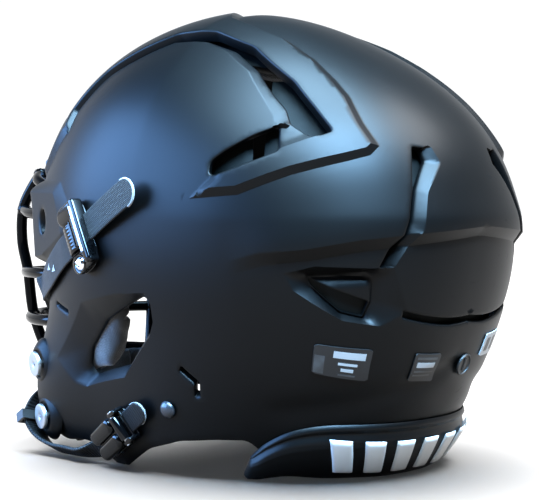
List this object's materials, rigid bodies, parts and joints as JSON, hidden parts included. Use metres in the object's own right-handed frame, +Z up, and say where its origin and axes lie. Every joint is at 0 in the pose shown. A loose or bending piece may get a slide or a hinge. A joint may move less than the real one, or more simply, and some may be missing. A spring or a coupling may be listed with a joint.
{
  "type": "american football helmet",
  "caption": "American football helmet: vented moulded shell, welded wire facemask, padded liner, chin cup, cam-buckled webbing and ratcheted lower straps.",
  "frame": {"origin": "on the surface the helmet stands on, under the middle of its bounding box left to right and front to back", "axes": "+X to the wearer's left, +Y to the back of the helmet, +Z up to the crown"},
  "size_m": [0.2588, 0.3328, 0.2654],
  "materials": {
    "shell_plastic": "satin black moulded polycarbonate",
    "bumper_plastic": "satin black",
    "badge_white": "white inlaid bars",
    "mask_coating": "glossy black coating on welded wire",
    "clip_plastic": "glossy black",
    "screw_metal": "bright plated",
    "release_steel": "turned and brushed round face",
    "webbing": "woven black webbing with white stitching at the tail",
    "ladder_strap": "ribbed black strap",
    "buckle_plastic": "glossy black",
    "pin_steel": "plain",
    "rivet_enamel": "blue-grey enamel",
    "guide_plastic": "satin",
    "cup_plastic": "glossy black",
    "cup_foam": "cloth-covered foam",
    "liner_foam": "grey-green moulded foam",
    "pad_fabric": "dark cloth over foam",
    "valve_rubber": "matte",
    "label_grey": "dark grey printed film",
    "label_white": "white paper film"
  },
  "bodies": {
    "helmet": {"shell": "shell_plastic", "rear_bumper": "bumper_plastic", "badge_bars": "badge_white", "front_bumper": "bumper_plastic", "facemask": "mask_coating", "forehead_clip_left": "clip_plastic", "forehead_clip_right": "clip_plastic", "forehead_screws": "screw_metal", "forehead_nuts": "screw_metal", "jaw_clip_upper_left": "clip_plastic", "jaw_clip_lower_left": "clip_plastic", "jaw_clip_upper_right": "clip_plastic", "jaw_clip_lower_right": "clip_plastic", "upper_strap_left": "webbing", "upper_strap_right": "webbing", "buckle_left": "buckle_plastic", "buckle_right": "buckle_plastic", "buckle_screws": "screw_metal", "lower_strap_left": "ladder_strap", "lower_strap_right": "ladder_strap", "ratchet_body_left": "buckle_plastic", "ratchet_body_right": "buckle_plastic", "ratchet_pins": "pin_steel", "strap_rivets": "rivet_enamel", "strap_guides": "guide_plastic", "chin_cup": "cup_plastic", "chin_pad": "cup_foam", "liner_crown": "liner_foam", "liner_rear": "liner_foam", "liner_left": "liner_foam", "liner_right": "liner_foam", "front_pad": "pad_fabric", "crown_pad": "pad_fabric", "rear_pad": "pad_fabric", "nape_pad": "pad_fabric", "side_pad_left": "pad_fabric", "side_pad_right": "pad_fabric", "jaw_pad_left": "pad_fabric", "jaw_pad_right": "pad_fabric", "air_valve": "valve_rubber", "size_label": "label_grey", "season_label": "label_grey", "approval_sticker": "label_white"},
    "release_upper_left": {"release_upper_left": "release_steel"},
    "release_upper_right": {"release_upper_right": "release_steel"},
    "release_lower_left": {"release_lower_left": "release_steel"},
    "release_lower_right": {"release_lower_right": "release_steel"},
    "buckle_cam_left": {"buckle_cam_left": "buckle_plastic"},
    "buckle_cam_right": {"buckle_cam_right": "buckle_plastic"},
    "ratchet_lever_left": {"ratchet_lever_left": "buckle_plastic"},
    "ratchet_lever_right": {"ratchet_lever_right": "buckle_plastic"}
  },
  "joints": [
    {"name": "release_upper_left_press", "type": "slide", "parent": "helmet", "child": "release_upper_left", "axis": [-0.9487, 0.3083, 0.0698], "range_m": [0, 0.002], "stiffness_N_per_m": 900},
    {"name": "release_lower_left_press", "type": "slide", "parent": "helmet", "child": "release_lower_left", "axis": [-0.9487, 0.3083, 0.0698], "range_m": [0, 0.002], "stiffness_N_per_m": 900},
    {"name": "release_upper_right_press", "type": "slide", "parent": "helmet", "child": "release_upper_right", "axis": [0.9487, 0.3083, 0.0698], "range_m": [0, 0.002], "stiffness_N_per_m": 900},
    {"name": "release_lower_right_press", "type": "slide", "parent": "helmet", "child": "release_lower_right", "axis": [0.9487, 0.3083, 0.0698], "range_m": [0, 0.002], "stiffness_N_per_m": 900},
    {"name": "buckle_cam_left_lift", "type": "hinge", "parent": "helmet", "child": "buckle_cam_left", "pos_m": [0.12482, -0.02478, 0.13883], "axis": [-0.0628, -0.4658, 0.8826], "range_deg": [0, 35]},
    {"name": "ratchet_lever_left_lift", "type": "hinge", "parent": "helmet", "child": "ratchet_lever_left", "pos_m": [0.10709, -0.0088, 0.02474], "axis": [0.2101, -0.5526, 0.8065], "range_deg": [0, 35]},
    {"name": "buckle_cam_right_lift", "type": "hinge", "parent": "helmet", "child": "buckle_cam_right", "pos_m": [-0.12482, -0.02478, 0.13883], "axis": [-0.0628, 0.4658, -0.8826], "range_deg": [0, 35]},
    {"name": "ratchet_lever_right_lift", "type": "hinge", "parent": "helmet", "child": "ratchet_lever_right", "pos_m": [-0.10709, -0.0088, 0.02474], "axis": [0.2101, 0.5526, -0.8065], "range_deg": [0, 35]}
  ]
}
